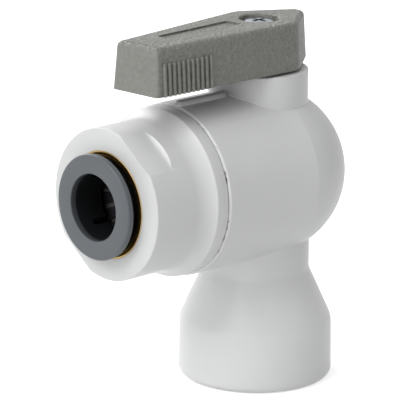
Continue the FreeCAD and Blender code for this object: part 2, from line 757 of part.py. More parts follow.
def make_seat(label, side):
    """A seat ring; side is -1 towards the inlet and 1 towards the rear."""
    body = new_body(label)
    ring = barrel_profile(body, "seat_outline")
    contact = s.ball_radius + s.seat_gap
    inner_reach = Size(math.sqrt(contact.number ** 2 - s.seat_bore.number ** 2),
                       f"sqrt({contact.formula}^2 - {s.seat_bore.formula}^2)")
    outer_radius = Size(math.sqrt(contact.number ** 2 - s.seat_front.number ** 2),
                        f"sqrt({contact.formula}^2 - {s.seat_front.formula}^2)")
    corners = [
        (inner_reach * side, s.seat_bore, contact * side),
        (s.seat_front * side, outer_radius),
        (s.seat_front * side, s.seat_radius),
        (s.seat_back * side, s.seat_radius),
        (s.seat_back * side, s.seat_bore),
    ]
    outline(ring, corners)
    revolve(body, "seat", ring, "H_Axis")
    return body


def make_backing_ring(label, side):
    reach = s.seat_back + s.backing_wire
    return wire_ring(label, s.backing_radius, s.backing_wire - s.fit_gap / 2, reach * -side)


# The stem with its rings

def make_stem():
    body = new_body("valve_stem")
    centre = s.centre_height
    groove_bottom = s.stem_radius - s.groove_depth
    lower = centre + s.groove_rise
    upper = lower + s.groove_pitch
    collar_top = centre + s.collar_rise + s.collar_height
    shoulder = centre + s.boss_rise - s.recess_depth
    turned = new_sketch(body, "stem_outline", "YZ_Plane")
    outline(turned, [
        (0, centre + s.collar_rise),
        (s.collar_radius, centre + s.collar_rise),
        (s.collar_radius, collar_top),
        (s.stem_radius, collar_top),
        (s.stem_radius, lower),
        (groove_bottom, lower),
        (groove_bottom, lower + s.groove_width),
        (s.stem_radius, lower + s.groove_width),
        (s.stem_radius, upper),
        (groove_bottom, upper),
        (groove_bottom, upper + s.groove_width),
        (s.stem_radius, upper + s.groove_width),
        (s.stem_radius, shoulder),
        (0, shoulder),
    ])
    revolve(body, "stem", turned, "V_Axis")
    half = s.drive_width / 2
    drive = new_sketch(body, "drive_outline", "XY_Plane", lift=shoulder)
    slab(drive, -half, half, -half, half)
    extrude(body, "drive_square", drive, s.drive_top - s.boss_rise + s.recess_depth)
    tang = new_sketch(body, "tang_outline", "XY_Plane", lift=centre + s.collar_rise)
    slab(tang, -s.tang_length / 2, s.tang_length / 2, -s.tang_width / 2, s.tang_width / 2)
    reach = s.collar_rise - s.ball_radius + s.slot_depth - s.tang_gap
    extrude(body, "tang", tang, reach, reverse=True)
    thread = new_sketch(body, "screw_hole_outline", "XY_Plane", lift=centre + s.drive_top)
    disc(thread, s.screw_radius + s.fit_gap)
    extrude(body, "screw_hole", thread, screw_reach() + s.free_gap, cut=True)
    turn_with_lever(body)
    return body


def turn_with_lever(body):
    body.Placement = FreeCAD.Placement(FreeCAD.Vector(0, 0, 0), lever_spin())
    tie(body, "Placement.Rotation.Angle", s.lever_turn)


def well_floor():
    """Floor of the lever's screw well above the origin."""
    return s.centre_height + s.boss_rise + s.lever_gap + s.lever_height - s.well_depth


def screw_reach():
    """How far the screw goes down into the top of the stem."""
    seat = well_floor() + s.washer_height
    return s.screw_length - (seat - s.centre_height - s.drive_top)


def make_stem_ring(label, step):
    rise = s.groove_rise + s.groove_pitch * step + s.groove_width / 2
    radius = s.stem_radius - s.groove_depth + s.stem_wire + s.fit_gap / 2
    return wire_ring(label, radius, s.stem_wire, 0, upright=True, height=rise)


def make_thrust_washer():
    bottom = s.centre_height + s.collar_rise + s.collar_height
    return flat_ring("thrust_washer", s.collar_radius, s.stem_radius + s.fit_gap,
                     s.thrust_height, bottom)


# The lever, hollow underneath, with its screw and washer

def lever_plan(sketch, inset):
    """The lever's plan at its foot, or the plan of its hollow where there is an inset."""
    slope = (s.widest_half - s.tip_half).number / (s.tip_reach + s.widest_start).number
    outline(sketch, [
        (-s.tip_half + inset * (1 - slope), -s.tip_reach + inset),
        (s.tip_half - inset * (1 - slope), -s.tip_reach + inset),
        (s.widest_half - inset, s.widest_start),
        (s.widest_half - inset, s.widest_end - inset * 0.4),
        (s.nose_half - inset * 0.4, s.nose_reach - inset),
        (-s.nose_half + inset * 0.4, s.nose_reach - inset),
        (-s.widest_half + inset, s.widest_end - inset * 0.4),
        (-s.widest_half + inset, s.widest_start),
    ])


def make_lever():
    body = new_body("lever_handle")
    foot = s.centre_height + s.boss_rise + s.lever_gap
    top = foot + s.lever_height
    plan = new_sketch(body, "lever_outline", "XY_Plane", lift=foot)
    lever_plan(plan, Size(0, "0"))
    extrude(body, "lever_block", plan, s.lever_height, draft=-s.lever_draft)

    def upright(edge):
        return edge.BoundBox.ZLength > s.lever_height.number * 0.9

    dress_edges(body, "corner_rounds", upright, s.corner_round)
    dress_edges(body, "rim_rounds", lambda edge: near(edge.BoundBox.ZMin, top), s.rim_round)

    hollow = new_sketch(body, "hollow_outline", "XY_Plane", lift=foot)
    lever_plan(hollow, s.lever_wall)
    extrude(body, "hollow", hollow, s.lever_height - s.lever_roof, cut=True, reverse=True,
            draft=-s.lever_draft)

    skirt_foot = foot - s.lever_gap - s.recess_depth + s.free_gap
    hub = new_sketch(body, "hub_outline", "XY_Plane", lift=foot)
    disc(hub, s.hub_radius)
    extrude(body, "hub", hub, s.lever_height - s.lever_roof / 2)
    skirt = new_sketch(body, "skirt_outline", "XY_Plane", lift=skirt_foot)
    disc(skirt, s.hub_radius)
    disc(skirt, s.hub_bore)
    extrude(body, "skirt", skirt, foot - skirt_foot + s.lever_roof)
    notch = new_sketch(body, "notch_outline", "XY_Plane", lift=skirt_foot,
                       turn=s.stop_turn - 90 - s.stop_angle / 2 - s.stop_slack - s.lever_turn)
    sector(notch, s.hub_bore - 1, s.hub_radius + 1, s.stop_angle + s.travel + s.stop_slack * 2)
    extrude(body, "stop_notch", notch, foot - skirt_foot, cut=True, reverse=True)

    spine = new_sketch(body, "spine_outline", "XY_Plane", lift=foot + s.web_width)
    slab(spine, -s.web_width / 2, s.web_width / 2,
         -s.tip_reach + s.lever_wall / 2, -s.hub_radius + 1)
    extrude(body, "spine", spine, s.lever_height - s.lever_roof)
    web = new_sketch(body, "web_outline", "XY_Plane", lift=foot + s.web_width,
                     along=-s.hub_radius - s.web_pitch, turn=-90)
    slab(web, -s.web_width / 2, s.web_width / 2, -s.tip_half, s.tip_half)
    cross_web = extrude(body, "cross_web", web, s.lever_height - s.lever_roof)
    repeat_along(body, cross_web, web, s.web_pitch, Size(2, "2"))

    socket = new_sketch(body, "socket_outline", "XY_Plane", lift=s.centre_height + s.drive_top)
    half = s.drive_width / 2 + s.fit_gap
    slab(socket, -half, half, -half, half)
    extrude(body, "drive_socket", socket, s.drive_top, cut=True)
    well = new_sketch(body, "well_outline", "XY_Plane", lift=top)
    disc(well, s.well_radius)
    extrude(body, "screw_well", well, s.well_depth, cut=True)
    through = new_sketch(body, "through_outline", "XY_Plane", lift=top)
    disc(through, s.screw_radius + s.free_gap)
    extrude(body, "through_hole", through, s.lever_height, cut=True)

    panel = new_sketch(body, "panel_outline", "XY_Plane", across=-s.panel_offset,
                       along=-s.panel_reach, lift=top)
    slab(panel, -s.panel_width / 2, s.panel_width / 2, -s.panel_length / 2, s.panel_length / 2)
    extrude(body, "panel", panel, s.panel_depth, cut=True)
    for side in (1, -1):
        add_grip(body, side, foot)
    turn_with_lever(body)
    return body


def add_grip(body, side, foot):
    """A row of upright ribs along one side of the lever's tip, for finger and thumb."""
    word = "right" if side > 0 else "left"
    run = s.tip_reach + s.widest_start
    flare = s.widest_half - s.tip_half
    lean = math.degrees(math.atan2(flare.number, run.number))
    angle = Size(90 - lean * side, f"90 deg - {side} * atan({formula(flare)} / {formula(run)})")
    rib = new_sketch(body, f"grip_outline_{word}", "XY_Plane", across=s.tip_half * side,
                     along=-s.tip_reach, lift=foot, turn=angle)
    outward = -side
    half = s.grip_width / 2
    outline(rib, [
        (s.grip_start - half, outward * -1),
        (s.grip_start + half, outward * -1),
        (s.grip_start + half, s.grip_rise * outward * 0.4),
        (s.grip_start + half * 0.4, s.grip_rise * outward * 0.7),
        (s.grip_start - half * 0.4, s.grip_rise * outward * 0.7),
        (s.grip_start - half, s.grip_rise * outward * 0.4),
    ])
    pad = extrude(body, f"grip_{word}", rib, s.grip_height)
    repeat_along(body, pad, rib, s.grip_pitch, s.grip_count)


def make_screw():
    body = new_body("handle_screw")
    seat = well_floor() + s.washer_height
    turned = new_sketch(body, "screw_outline", "YZ_Plane")
    edge = s.head_height * 0.7
    outline(turned, [
        (0, seat - s.screw_length),
        (s.screw_radius, seat - s.screw_length),
        (s.screw_radius, seat),
        (s.head_radius, seat),
        (s.head_radius, seat + edge, -s.head_radius * 0.4),
        (s.head_radius * 0.8, seat + s.head_height),
        (0, seat + s.head_height),
    ])
    revolve(body, "screw", turned, "V_Axis")
    cross = new_sketch(body, "cross_outline", "XY_Plane", lift=seat + s.head_height)
    slab(cross, -s.cross_length / 2, s.cross_length / 2, -s.cross_width / 2, s.cross_width / 2)
    cut = extrude(body, "cross_slot", cross, s.cross_depth, cut=True)
    repeat_round(body, cut, cross, 4)
    turn_with_lever(body)
    return body


def make_screw_washer():
    return flat_ring("screw_washer", s.washer_radius, s.screw_radius + s.fit_gap,
                     s.washer_height, well_floor())


def make_gasket():
    return flat_ring("socket_gasket", s.gasket_radius, s.gasket_bore, s.gasket_height,
                     s.thread_depth)


def check_and_write():
    doc.recompute()
    for item in doc.Objects:
        for word in ("Invalid", "Error"):
            if word in item.State:
                raise RuntimeError(f"{item.Name} is {word}")
    os.makedirs("parts", exist_ok=True)
    for piece in pieces:
        shape = piece.Shape
        if shape.isNull() or not shape.isValid() or not shape.Solids:
            raise RuntimeError(f"{piece.Label} has no sound shape")
        shape.exportStep(f"parts/{piece.Label}.step")
        print(piece.Label, len(shape.Solids), round(shape.Volume, 1))


pieces = [
    make_valve_body(),
    make_gasket(),
    make_inlet_cap(),
    make_cap_ring(),
    make_metal_sleeve(),
    make_toothed_ring(),
    make_spacer(),
    make_tube_seal(),
    make_release_collet(),
    make_ball(),
    make_seat("front_seat", -1),
    make_seat("rear_seat", 1),
    make_backing_ring("front_backing_ring", -1),
    make_backing_ring("rear_backing_ring", 1),
    make_stem(),
    make_stem_ring("lower_stem_ring", 0),
    make_stem_ring("upper_stem_ring", 1),
    make_thrust_washer(),
    make_lever(),
    make_screw(),
    make_screw_washer(),
]
check_and_write()
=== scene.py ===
"""Elbow ball valve: a tube pushes in at the front, a pipe thread screws in below, a lever turns the ball."""

import math

import bmesh
import bpy
from mathutils import Matrix, Vector


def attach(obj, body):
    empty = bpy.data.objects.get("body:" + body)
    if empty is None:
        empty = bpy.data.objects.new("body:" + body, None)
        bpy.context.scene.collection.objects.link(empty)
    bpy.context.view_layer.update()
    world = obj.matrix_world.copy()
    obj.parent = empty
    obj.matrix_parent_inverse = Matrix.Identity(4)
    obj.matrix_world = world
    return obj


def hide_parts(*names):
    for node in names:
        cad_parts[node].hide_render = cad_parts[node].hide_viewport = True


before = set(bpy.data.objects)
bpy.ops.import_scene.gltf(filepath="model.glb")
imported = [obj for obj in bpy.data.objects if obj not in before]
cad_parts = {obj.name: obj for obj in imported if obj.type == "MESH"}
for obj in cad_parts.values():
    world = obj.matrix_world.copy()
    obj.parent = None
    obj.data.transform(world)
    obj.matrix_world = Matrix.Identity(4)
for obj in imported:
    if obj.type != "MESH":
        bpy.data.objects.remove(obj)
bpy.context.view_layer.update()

# Camera: a long lens a little above the valve, on its front right side,
# so the collet, the side of the barrel and the top of the lever all show.

camera_place = Matrix.Translation((0.4779, -0.4622, 0.2263))
camera_turn = Matrix.Rotation(math.radians(47.093), 4, "Z")
camera_tilt = Matrix.Rotation(math.radians(90 - 15.526), 4, "X")
camera_roll = Matrix.Rotation(math.radians(0.464), 4, "Z")
bpy.ops.object.camera_add()
camera = bpy.context.object
camera.matrix_world = camera_place @ camera_turn @ camera_tilt @ camera_roll
camera.data.sensor_width = 36
camera.data.lens = 266.70
bpy.context.scene.camera = camera

# Valve body: one moulding of white plastic with a satin skin. A thin-walled barrel lies across,
# closed by a round end. A boss for the stem stands on it, and below hangs the socket with its pipe thread,
# whose ridges are moulded in. Sizes are millimetres above the socket's mouth or along the barrel.

MM = 0.001
SAME_PLACE = 0.001 * MM
BARREL = 49.15
BARREL_SIDE = 19.96
DOME = 0.6
SEAM = 27.1
SOCKET_DEPTH = 14
THREAD_PITCH = 1.814
BOSS_TOP = 73.5


def release():
    """Leave edit mode and let go of every piece."""
    if bpy.context.object and bpy.context.object.mode == "EDIT":
        bpy.ops.object.mode_set(mode="OBJECT")
    bpy.ops.object.select_all(action="DESELECT")


def hold(piece):
    """Take hold of one piece alone."""
    release()
    bpy.context.view_layer.objects.active = piece
    piece.select_set(True)


def edit(piece):
    """Open one piece for editing."""
    hold(piece)
    bpy.ops.object.mode_set(mode="EDIT")


def pick(piece, kind, wanted):
    """Select only those corners or edges of the piece that pass a test."""
    bpy.ops.mesh.select_mode(type=kind)
    bpy.ops.mesh.select_all(action="DESELECT")
    shape = bmesh.from_edit_mesh(piece.data)
    for part in shape.verts if kind == "VERT" else shape.edges:
        if wanted(part):
            part.select_set(True)
    bmesh.update_edit_mesh(piece.data)


def drawn(name, points, closed=False):
    """A line through points in millimetres, drawn corner by corner; it stays in edit mode."""
    release()
    bpy.ops.mesh.primitive_plane_add(size=MM, enter_editmode=True)
    piece = bpy.context.object
    piece.name = piece.data.name = name
    bpy.ops.mesh.select_mode(type="VERT")
    bpy.ops.mesh.merge(type="CENTER")
    points = [Vector(point) * MM for point in points]
    bpy.ops.transform.translate(value=points[0])
    for last, new in zip(points, points[1:]):
        bpy.ops.mesh.extrude_vertices_move(TRANSFORM_OT_translate={"value": new - last})
    if closed:
        ends = (points[0], points[-1])
        pick(piece, "VERT", lambda vert: min((vert.co - end).length for end in ends) < SAME_PLACE)
        bpy.ops.mesh.edge_face_add()
    return piece


def outward(piece):
    """Merge doubles and turn the faces outwards."""
    bpy.ops.mesh.select_all(action="SELECT")
    bpy.ops.mesh.remove_doubles(threshold=SAME_PLACE)
    bpy.ops.mesh.normals_make_consistent(inside=False)
    release()
    return piece


def turned(name, profile, along="Z", closed=False, steps=192, sweep=360, start=0):
    """Turn a half section, given as place, radius and rounding, about the stem's or the barrel's axis."""
    angle = math.radians(start)
    if along == "Z":
        centre, axis = Vector((0, 0, 0)), Vector((0, 0, 1))
        side = Vector((math.cos(angle), math.sin(angle), 0))
    else:
        centre, axis = Vector((0, 0, BARREL)), Vector((0, 1, 0))
        side = Vector((math.sin(angle), 0, math.cos(angle)))
    points = [centre + axis * corner[0] + side * corner[1] for corner in profile]
    piece = drawn(name, points, closed)
    roundings = [corner[2] if len(corner) > 2 else 0 for corner in profile]
    for rounding in sorted(set(roundings) - {0}):
        soft = [point * MM for point, size in zip(points, roundings) if size == rounding]
        pick(piece, "VERT", lambda vert: min((vert.co - point).length for point in soft) < SAME_PLACE)
        bpy.ops.mesh.bevel(offset=rounding * MM, segments=5, affect="VERTICES")
    bpy.ops.mesh.select_all(action="SELECT")
    if sweep < 360:
        bpy.ops.mesh.edge_face_add()
    bpy.ops.mesh.spin(steps=steps, angle=-math.radians(sweep), center=centre * MM, axis=axis)
    return outward(piece)


def bow(along, out, radius, first, last, steps):
    """Points of an arc in a half section; 90 degrees points away from the axis."""
    angles = [math.radians(first + (last - first) * count / steps) for count in range(steps + 1)]
    return [(along + radius * math.cos(angle), out + radius * math.sin(angle)) for angle in angles]


def block(name, low, high, turn=(0, 0, 0)):
    """A box between two corners in millimetres, turned about its middle."""
    low, high = Vector(low) * MM, Vector(high) * MM
    release()
    bpy.ops.mesh.primitive_cube_add(size=1, location=(low + high) / 2, scale=high - low,
                                    rotation=[math.radians(angle) for angle in turn])
    piece = bpy.context.object
    piece.name = piece.data.name = name
    bpy.ops.object.transform_apply()
    return piece


def round_edges(piece, offset, wanted, segments=5):
    """Round the edges that pass a test."""
    edit(piece)
    pick(piece, "EDGE", wanted)
    bpy.ops.mesh.bevel(offset=offset * MM, segments=segments, affect="EDGES")
    release()


def rise(edge):
    """Height between an edge's two ends, in millimetres."""
    return abs(edge.verts[0].co.z - edge.verts[1].co.z) / MM


def middle(edge):
    """Middle of an edge, in millimetres."""
    return (edge.verts[0].co + edge.verts[1].co) / 2 / MM


def combine(piece, tool, how):
    """Join another shape to the piece, or cut it away, and throw the tool away."""
    hold(piece)
    change = piece.modifiers.new(how.title(), "BOOLEAN")
    change.operation = how
    change.object = tool
    change.solver = "EXACT"
    bpy.ops.object.modifier_apply(modifier=change.name)
    bpy.data.objects.remove(tool, do_unlink=True)


def clean(piece):
    """Close up the hair-thin slivers that joining and cutting leave behind."""
    edit(piece)
    bpy.ops.mesh.select_all(action="SELECT")
    bpy.ops.mesh.remove_doubles(threshold=0.002 * MM)
    bpy.ops.mesh.dissolve_degenerate(threshold=0.001 * MM)
    release()


def dress(piece, material, body, slot, *nodes):
    """Smooth shading, material, and the body and CAD nodes that the piece stands for; the finish slot is not
    used.
    """
    hold(piece)
    bpy.ops.object.shade_smooth_by_angle(angle=math.radians(30))
    piece.data.materials.clear()
    piece.data.materials.append(material)
    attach(piece, body)
    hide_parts(*nodes)
    release()


def step(tree, kind, inputs=(), **settings):
    """Add a shader node, with a value or another node's output for each named input."""
    made = tree.nodes.new("ShaderNode" + kind)
    for key, value in settings.items():
        setattr(made, key, value)
    for key, value in dict(inputs).items():
        if isinstance(value, bpy.types.NodeSocket):
            tree.links.new(value, made.inputs[key])
        else:
            made.inputs[key].default_value = value
    return made


def maths(tree, how, *values):
    """Work on up to three values, each a number or another node's output."""
    return step(tree, "Math", dict(enumerate(values)), operation=how).outputs[0]


def fade(tree, value, first, last, start=0, end=1):
    """Go from one result to another while a value goes from its first bound to its last."""
    return step(tree, "MapRange", {"Value": value, "From Min": first, "From Max": last,
                                   "To Min": start, "To Max": end}).outputs[0]


def noise(tree, where, scale, detail, **more):
    """Grey noise between nought and one."""
    return step(tree, "TexNoise", {"Vector": where, "Scale": scale, "Detail": detail, **more}).outputs[0]


def mix(tree, mask, first, second):
    """The first colour where the mask is nought, the second where it is one."""
    return step(tree, "Mix", {0: mask, 6: first, 7: second}, data_type="RGBA").outputs[2]


def scaled(tree, colour, factor):
    """A colour made brighter or darker."""
    return step(tree, "VectorMath", {0: colour, "Scale": factor}, operation="SCALE").outputs[0]


def diagonal(tree, first, second):
    """Length of the straight line that two steps at right angles make."""
    flat = step(tree, "CombineXYZ", {0: first, 1: second}).outputs[0]
    return step(tree, "VectorMath", {0: flat}, operation="LENGTH").outputs["Value"]


def on_piece(tree):
    """Place on the piece, in metres."""
    return step(tree, "TexCoord").outputs["Object"]


def apart(tree, vector):
    """The three parts of a vector."""
    return step(tree, "SeparateXYZ", {0: vector}).outputs


def round_the_barrel(tree):
    """Distance from the barrel's axis and place along it, both in metres."""
    x, y, z = apart(tree, on_piece(tree))
    return diagonal(tree, x, maths(tree, "SUBTRACT", z, BARREL * MM)), y


def shared_effect(name, inputs):
    """A node group with colour, roughness and normal coming out."""
    group = bpy.data.node_groups.new(name, "ShaderNodeTree")
    for label, kind, value in inputs:
        group.interface.new_socket(label, in_out="INPUT", socket_type="NodeSocket" + kind)
        if value is not None:
            group.interface.items_tree[label].default_value = value
    for label, kind in (("Colour", "Color"), ("Roughness", "Float"), ("Normal", "Vector")):
        group.interface.new_socket(label, in_out="OUTPUT", socket_type="NodeSocket" + kind)
    return group, group.nodes.new("NodeGroupInput").outputs


def give_out(group, colour, roughness, normal):
    """Join the results to the group's outputs."""
    ends = group.nodes.new("NodeGroupOutput").inputs
    for label, source in (("Colour", colour), ("Roughness", roughness), ("Normal", normal)):
        group.links.new(source, ends[label])


moulded, given = shared_effect("moulded surface", [
    ("Colour", "Color", (0.8, 0.8, 0.8, 1)),
    ("Tint change", "Float", 0.02),
    ("Cloud scale", "Float", 60),
    ("Roughness low", "Float", 0.35),
    ("Roughness high", "Float", 0.45),
    ("Grain scale", "Float", 900),
    ("Grain height", "Float", 0.000004),
])
where = on_piece(moulded)
clouds = noise(moulded, where, given["Cloud scale"], 3)
low_tint = maths(moulded, "SUBTRACT", 1, given["Tint change"])
high_tint = maths(moulded, "ADD", 1, given["Tint change"])
shade = scaled(moulded, given["Colour"], fade(moulded, clouds, 0.3, 0.7, low_tint, high_tint))
skin = noise(moulded, where, given["Grain scale"], 4)
gloss = fade(moulded, skin, 0.3, 0.7, given["Roughness low"], given["Roughness high"])
bumps = step(moulded, "Bump", {"Height": skin, "Distance": given["Grain height"]}).outputs[0]
give_out(moulded, shade, gloss, bumps)


def finish(name, effect, values, **constants):
    """A material whose surface comes from a shared effect, with constants on the shader itself."""
    material = bpy.data.materials.new(name)
    material.use_nodes = True
    tree = material.node_tree
    shader = tree.nodes["Principled BSDF"]
    surface = step(tree, "Group", values, node_tree=effect)
    for label, socket in (("Colour", "Base Color"), ("Roughness", "Roughness"), ("Normal", "Normal")):
        tree.links.new(surface.outputs[label], shader.inputs[socket])
    for label, value in constants.items():
        shader.inputs[label.replace("_", " ")].default_value = value
    return material


def effect_in(tree):
    """The shared effect that a material uses."""
    return next(node for node in tree.nodes if node.type == "GROUP")


def tinted(material, mask, colour):
    """Lay a second colour over a finish where the mask is one."""
    tree = material.node_tree
    shade = mix(tree, mask, effect_in(tree).outputs["Colour"], colour)
    tree.links.new(shade, tree.nodes["Principled BSDF"].inputs["Base Color"])


white_plastic = finish("satin white plastic", moulded, {
    "Colour": (0.66, 0.665, 0.665, 1), "Tint change": 0.015, "Cloud scale": 70,
    "Roughness low": 0.34, "Roughness high": 0.42, "Grain scale": 1100, "Grain height": 0.000003,
})

# Fine dirt has caught here and there in the seam, and the bore that takes the tube is painted darker as
# painted shade.

tree = white_plastic.node_tree
where = on_piece(tree)
height = apart(tree, where)[2]
from_axis, along = round_the_barrel(tree)
off_seam = maths(tree, "ABSOLUTE", maths(tree, "ADD", along, (SEAM + 0.1) * MM))
near_seam = fade(tree, off_seam, 0.12 * MM, 0.3 * MM, 1, 0)
dust = fade(tree, noise(tree, where, 300, 5, Roughness=0.7), 0.53, 0.62)
# Painted shade: inside the cap, between its face and the ball, the bore is painted dark.
in_bore = maths(tree, "LESS_THAN", from_axis, 12.4 * MM)
behind_face = fade(tree, along, -46.5 * MM, -46 * MM)
before_ball = maths(tree, "LESS_THAN", along, -17 * MM)
bore_painted_shade = maths(tree, "MULTIPLY", maths(tree, "MULTIPLY", in_bore, behind_face), before_ball)
seam_dirt_and_bore_shade = maths(tree, "MAXIMUM", maths(tree, "MULTIPLY", near_seam, dust), bore_painted_shade)
tinted(white_plastic, seam_dirt_and_bore_shade, (0.17, 0.16, 0.145, 1))

# Painted light and shade: the socket is painted a little paler, standing in for light that reaches it low
# down. The flow mark and the side of the boss that faces it, both in the corner under the lever, are painted
# darker as the lever's shade.

BOSS_FRONT = -11.8
painted_light_and_shade = fade(tree, height, 18 * MM, 34 * MM, 1.13, 1)
stands_out = maths(tree, "GREATER_THAN", from_axis, 20.1 * MM)
on_top = maths(tree, "MULTIPLY", stands_out, maths(tree, "GREATER_THAN", height, 60 * MM))
on_mark = maths(tree, "MULTIPLY", on_top, maths(tree, "LESS_THAN", along, BOSS_FRONT * MM))
on_boss = maths(tree, "MULTIPLY", on_top, maths(tree, "GREATER_THAN", along, BOSS_FRONT * MM))
towards_mark = maths(tree, "POWER", fade(tree, along, -3.5 * MM, -11.6 * MM), 1.8)
on_boss = maths(tree, "MULTIPLY", on_boss, towards_mark)
painted_light_and_shade = maths(tree, "MULTIPLY_ADD", on_mark, -0.3, painted_light_and_shade)
painted_light_and_shade = maths(tree, "MULTIPLY_ADD", on_boss, -0.34, painted_light_and_shade)
base = tree.nodes["Principled BSDF"].inputs["Base Color"]
tree.links.new(scaled(tree, base.links[0].from_socket, painted_light_and_shade), base)

valve_body = turned("valve_body_moulding", [
    (-SEAM, 0), (-SEAM, 19.43, 0.05), (-SEAM + 0.4, 19.8, 0.12), (DOME - 0.15, BARREL_SIDE), (DOME, 20),
    (DOME + 0.15, BARREL_SIDE), *bow(DOME, 0, BARREL_SIDE, 89.3, 0, 48),
], along="Y")
upright = turned("upright", [
    (BOSS_TOP, 0), (BOSS_TOP, 11.5, 0.3), (BARREL, 11.62), (BARREL, 12.38), (25.95, 12.38, 0.8),
    (13.95, 17.8, 1), (0, 18, 1.9), (0, 0),
])
combine(valve_body, upright, "UNION")

MARK_TOP = BARREL + 20.9
flow_mark = block("flow_mark", (0.6, -26.9, BARREL + 18), (2.6, -11.9, MARK_TOP))
round_edges(flow_mark, 0.95, lambda edge: rise(edge) > 1)
round_edges(flow_mark, 0.6, lambda edge: rise(edge) < 0.1 and middle(edge).z > MARK_TOP - 0.1, segments=4)
combine(valve_body, flow_mark, "UNION")

chamber = turned("chamber", [
    (-28, 0), (-28, 15), (-18.2, 15), (-18.2, 13.95), (-11.1, 13.95), (-11.1, 12.6), (11.4, 12.6),
    (11.4, 10.05), (14.4, 10.05), (14.4, 0),
], along="Y")
combine(valve_body, chamber, "DIFFERENCE")
stem_bore = turned("stem_bore", [
    (BARREL, 0), (BARREL, 6.3), (64.55, 6.3), (64.55, 4.85), (71.35, 4.85), (71.35, 8.6), (74, 8.6), (74, 0),
])
combine(valve_body, stem_bore, "DIFFERENCE")
socket = turned("socket", [
    (-1, 0), (-1, 14.4), (0.15, 13.25), (SOCKET_DEPTH, 13.25), (SOCKET_DEPTH, 12.65), (16, 12.65),
    (16, 6.25), (BARREL, 6.25), (BARREL, 0),
])
combine(valve_body, socket, "DIFFERENCE")
fixed_stop = turned("fixed_stop", [(71.2, 6.4), (71.2, 8.8), (73.2, 8.8), (73.2, 6.4)],
                    closed=True, steps=24, sweep=50, start=-25)
combine(valve_body, fixed_stop, "UNION")

pipe_thread = drawn("pipe_thread", [(13.36, 0, -2.6), (13.36, 0, -1.1), (12.06, 0, -1.75), (12.06, 0, -1.95)],
                    closed=True)
release()
coil = pipe_thread.modifiers.new("Coil", "SCREW")
coil.axis = "Z"
coil.screw_offset = THREAD_PITCH * MM
coil.iterations = 10
coil.steps = coil.render_steps = 96
hold(pipe_thread)
bpy.ops.object.modifier_apply(modifier=coil.name)
edit(pipe_thread)
bpy.ops.mesh.select_all(action="SELECT")
bpy.ops.mesh.fill_holes(sides=4)
outward(pipe_thread)
thread_room = turned("thread_room", [
    (0.05, 13.5), (0.05, 13.2), (1.25, 12), (SOCKET_DEPTH - 0.1, 12), (SOCKET_DEPTH - 0.1, 13.5),
], closed=True, steps=96)
combine(pipe_thread, thread_room, "INTERSECT")
edit(pipe_thread)
outward(pipe_thread)
combine(valve_body, pipe_thread, "UNION")
clean(valve_body)
dress(valve_body, white_plastic, "housing", "body_plastic", "valve_body")

# Inlet cap: a second moulding of the same plastic, screwed into the front of the barrel.
# Its front is a large nut with two spanner flats, behind it a hollow shoulder sweeps out to the sharp edge of
# the flange, and inside it steps down to the tube's seat.

inlet_cap = turned("inlet_cap_moulding", [
    (-46.6, 12.25), (-46.6, 17.35, 0.35), *bow(-35, 23.536, 6.186, -90, -44, 14), (-30.4, 19.4, 0.2),
    (-SEAM - 0.22, 19.4, 0.08), (-SEAM - 0.22, 14.9), (-18.2, 14.9), (-18.2, 13.9),
    (-17.35, 13.9), (-17.35, 12.05), (-15.45, 12.05), (-15.45, 13.9), (-11.4, 13.9), (-11.4, 10.05),
    (-14.4, 10.05), (-14.4, 6.25), (-25, 6.25), (-25, 7.75), (-33.15, 7.75), (-33.15, 10), (-35.85, 10),
    (-35.85, 12.25),
], along="Y", closed=True)
for angle in (53.5, 233.5):
    out = Vector((math.cos(math.radians(angle)), 0, math.sin(math.radians(angle))))
    across = Vector((-out.z, 0, out.x))
    spanner_flat = drawn("spanner_flat", [
        Vector((0, place, BARREL)) + out * reach - across * 15
        for place, reach in [(-48, 16.3), *bow(-40.6, 18.201, 1.901, -90, -10, 10), (-38, 22), (-48, 22)]
    ], closed=True)
    bpy.ops.mesh.select_all(action="SELECT")
    bpy.ops.mesh.edge_face_add()
    bpy.ops.mesh.extrude_region_move(TRANSFORM_OT_translate={"value": across * 30 * MM})
    combine(inlet_cap, outward(spanner_flat), "DIFFERENCE")
dress(inlet_cap, white_plastic, "housing", "body_plastic", "inlet_cap")

# Metal sleeve: a thin turned brass bush, pressed into the cap's mouth.
# Its inner lip catches the collet's barbs, its mouth turns in round the collet, and its rim stands a hair
# proud of the cap's face.

turned_metal, given = shared_effect("turned metal", [
    ("Vector", "Vector", None),
    ("Colour", "Color", (0.7, 0.5, 0.2, 1)),
    ("Dull colour", "Color", (0.5, 0.35, 0.15, 1)),
    ("Cloud scale", "Float", 150),
    ("Line scale", "Float", 6000),
    ("Line height", "Float", 0.000002),
    ("Roughness low", "Float", 0.2),
    ("Roughness high", "Float", 0.35),
])
x, y, z = apart(turned_metal, given["Vector"])
along_lines = step(turned_metal, "CombineXYZ", {0: diagonal(turned_metal, x, y), 2: z}).outputs[0]
lines = noise(turned_metal, along_lines, given["Line scale"], 2)
clouds = noise(turned_metal, given["Vector"], given["Cloud scale"], 4)
shade = mix(turned_metal, fade(turned_metal, clouds, 0.4, 0.75), given["Colour"], given["Dull colour"])
gloss = fade(turned_metal, lines, 0.3, 0.7, given["Roughness low"], given["Roughness high"])
ridges = step(turned_metal, "Bump", {"Height": lines, "Distance": given["Line height"]}).outputs[0]
give_out(turned_metal, shade, gloss, ridges)


def turned_finish(name, values, along="Y", height=BARREL, **constants):
    """A turned metal finish, whose lines run round the barrel's or the stem's axis."""
    material = finish(name, turned_metal, values, Metallic=1, **constants)
    tree = material.node_tree
    turn = (math.radians(90), 0, 0) if along == "Y" else (0, 0, 0)
    centred = step(tree, "VectorMath", {0: on_piece(tree), 1: (0, 0, -height * MM)},
                   operation="ADD").outputs[0]
    mapped = step(tree, "Mapping", {"Vector": centred, "Rotation": turn}).outputs[0]
    tree.links.new(mapped, effect_in(tree).inputs["Vector"])
    return material
